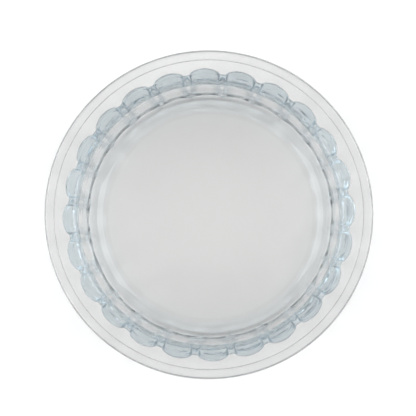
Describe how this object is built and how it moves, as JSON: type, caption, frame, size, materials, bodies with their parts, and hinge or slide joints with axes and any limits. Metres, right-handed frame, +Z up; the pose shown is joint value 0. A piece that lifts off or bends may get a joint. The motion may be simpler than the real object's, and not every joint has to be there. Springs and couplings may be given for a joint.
{
  "type": "glass ramekin",
  "caption": "Round clear pressed-glass ramekin with a smooth inside, a fluted outer wall, a flat overhanging rim and a low foot ring, for baking and serving single portions.",
  "frame": {"origin": "middle of the surface that the foot ring stands on", "axes": "+Z up along the dish's axis of symmetry, out of the mouth; the middle of one flute faces +X"},
  "size_m": [0.11, 0.11, 0.045],
  "materials": {
    "clear_glass": "clear fire-polished pressed glass with a faint blue-green tint"
  },
  "bodies": {
    "root": {"glass_body": "clear_glass"}
  },
  "joints": []
}
